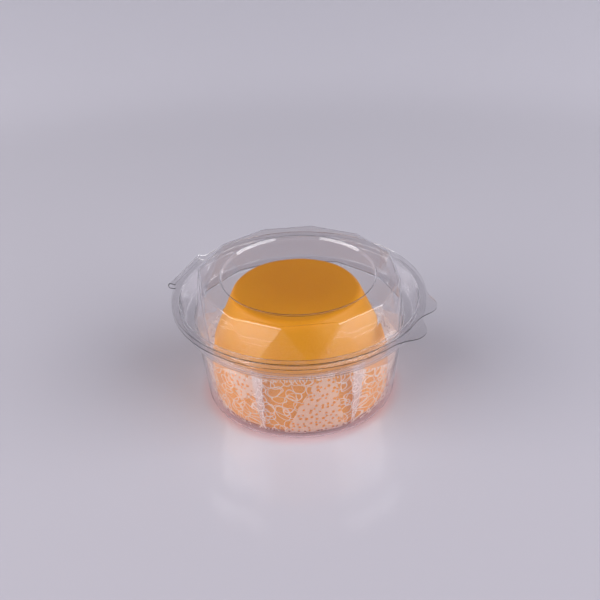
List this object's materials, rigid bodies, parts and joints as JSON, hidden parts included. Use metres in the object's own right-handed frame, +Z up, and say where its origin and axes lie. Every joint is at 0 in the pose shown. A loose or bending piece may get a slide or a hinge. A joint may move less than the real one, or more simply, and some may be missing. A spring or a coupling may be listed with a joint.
{
  "type": "plastic clamshell pack",
  "caption": "Clear round clamshell food pack with a hinged faceted lid, opening tabs and a film-wrapped cake inside.",
  "frame": {"origin": "centre of the pack's foot, on the surface it stands on", "axes": "+Z up, +Y towards the living hinge, -Y towards the opening tabs, +X to the right seen from the tabs"},
  "size_m": [0.12, 0.1277, 0.0633],
  "materials": {
    "base_sheet": "clear thermoformed sheet",
    "lid_sheet": "clear thermoformed sheet",
    "cake_crust": "soft golden glazed cake",
    "printed_film": "clear film with a white lace print"
  },
  "bodies": {
    "base": {"base_shell": "base_sheet", "cake": "cake_crust", "film_wrap": "printed_film"},
    "lid": {"lid_shell": "lid_sheet"}
  },
  "joints": [
    {"name": "lid_hinge", "type": "hinge", "parent": "base", "child": "lid", "pos_m": [0, 0.0607, 0.0513], "axis": [-1, 0, 0], "range_deg": [0, 180]}
  ]
}
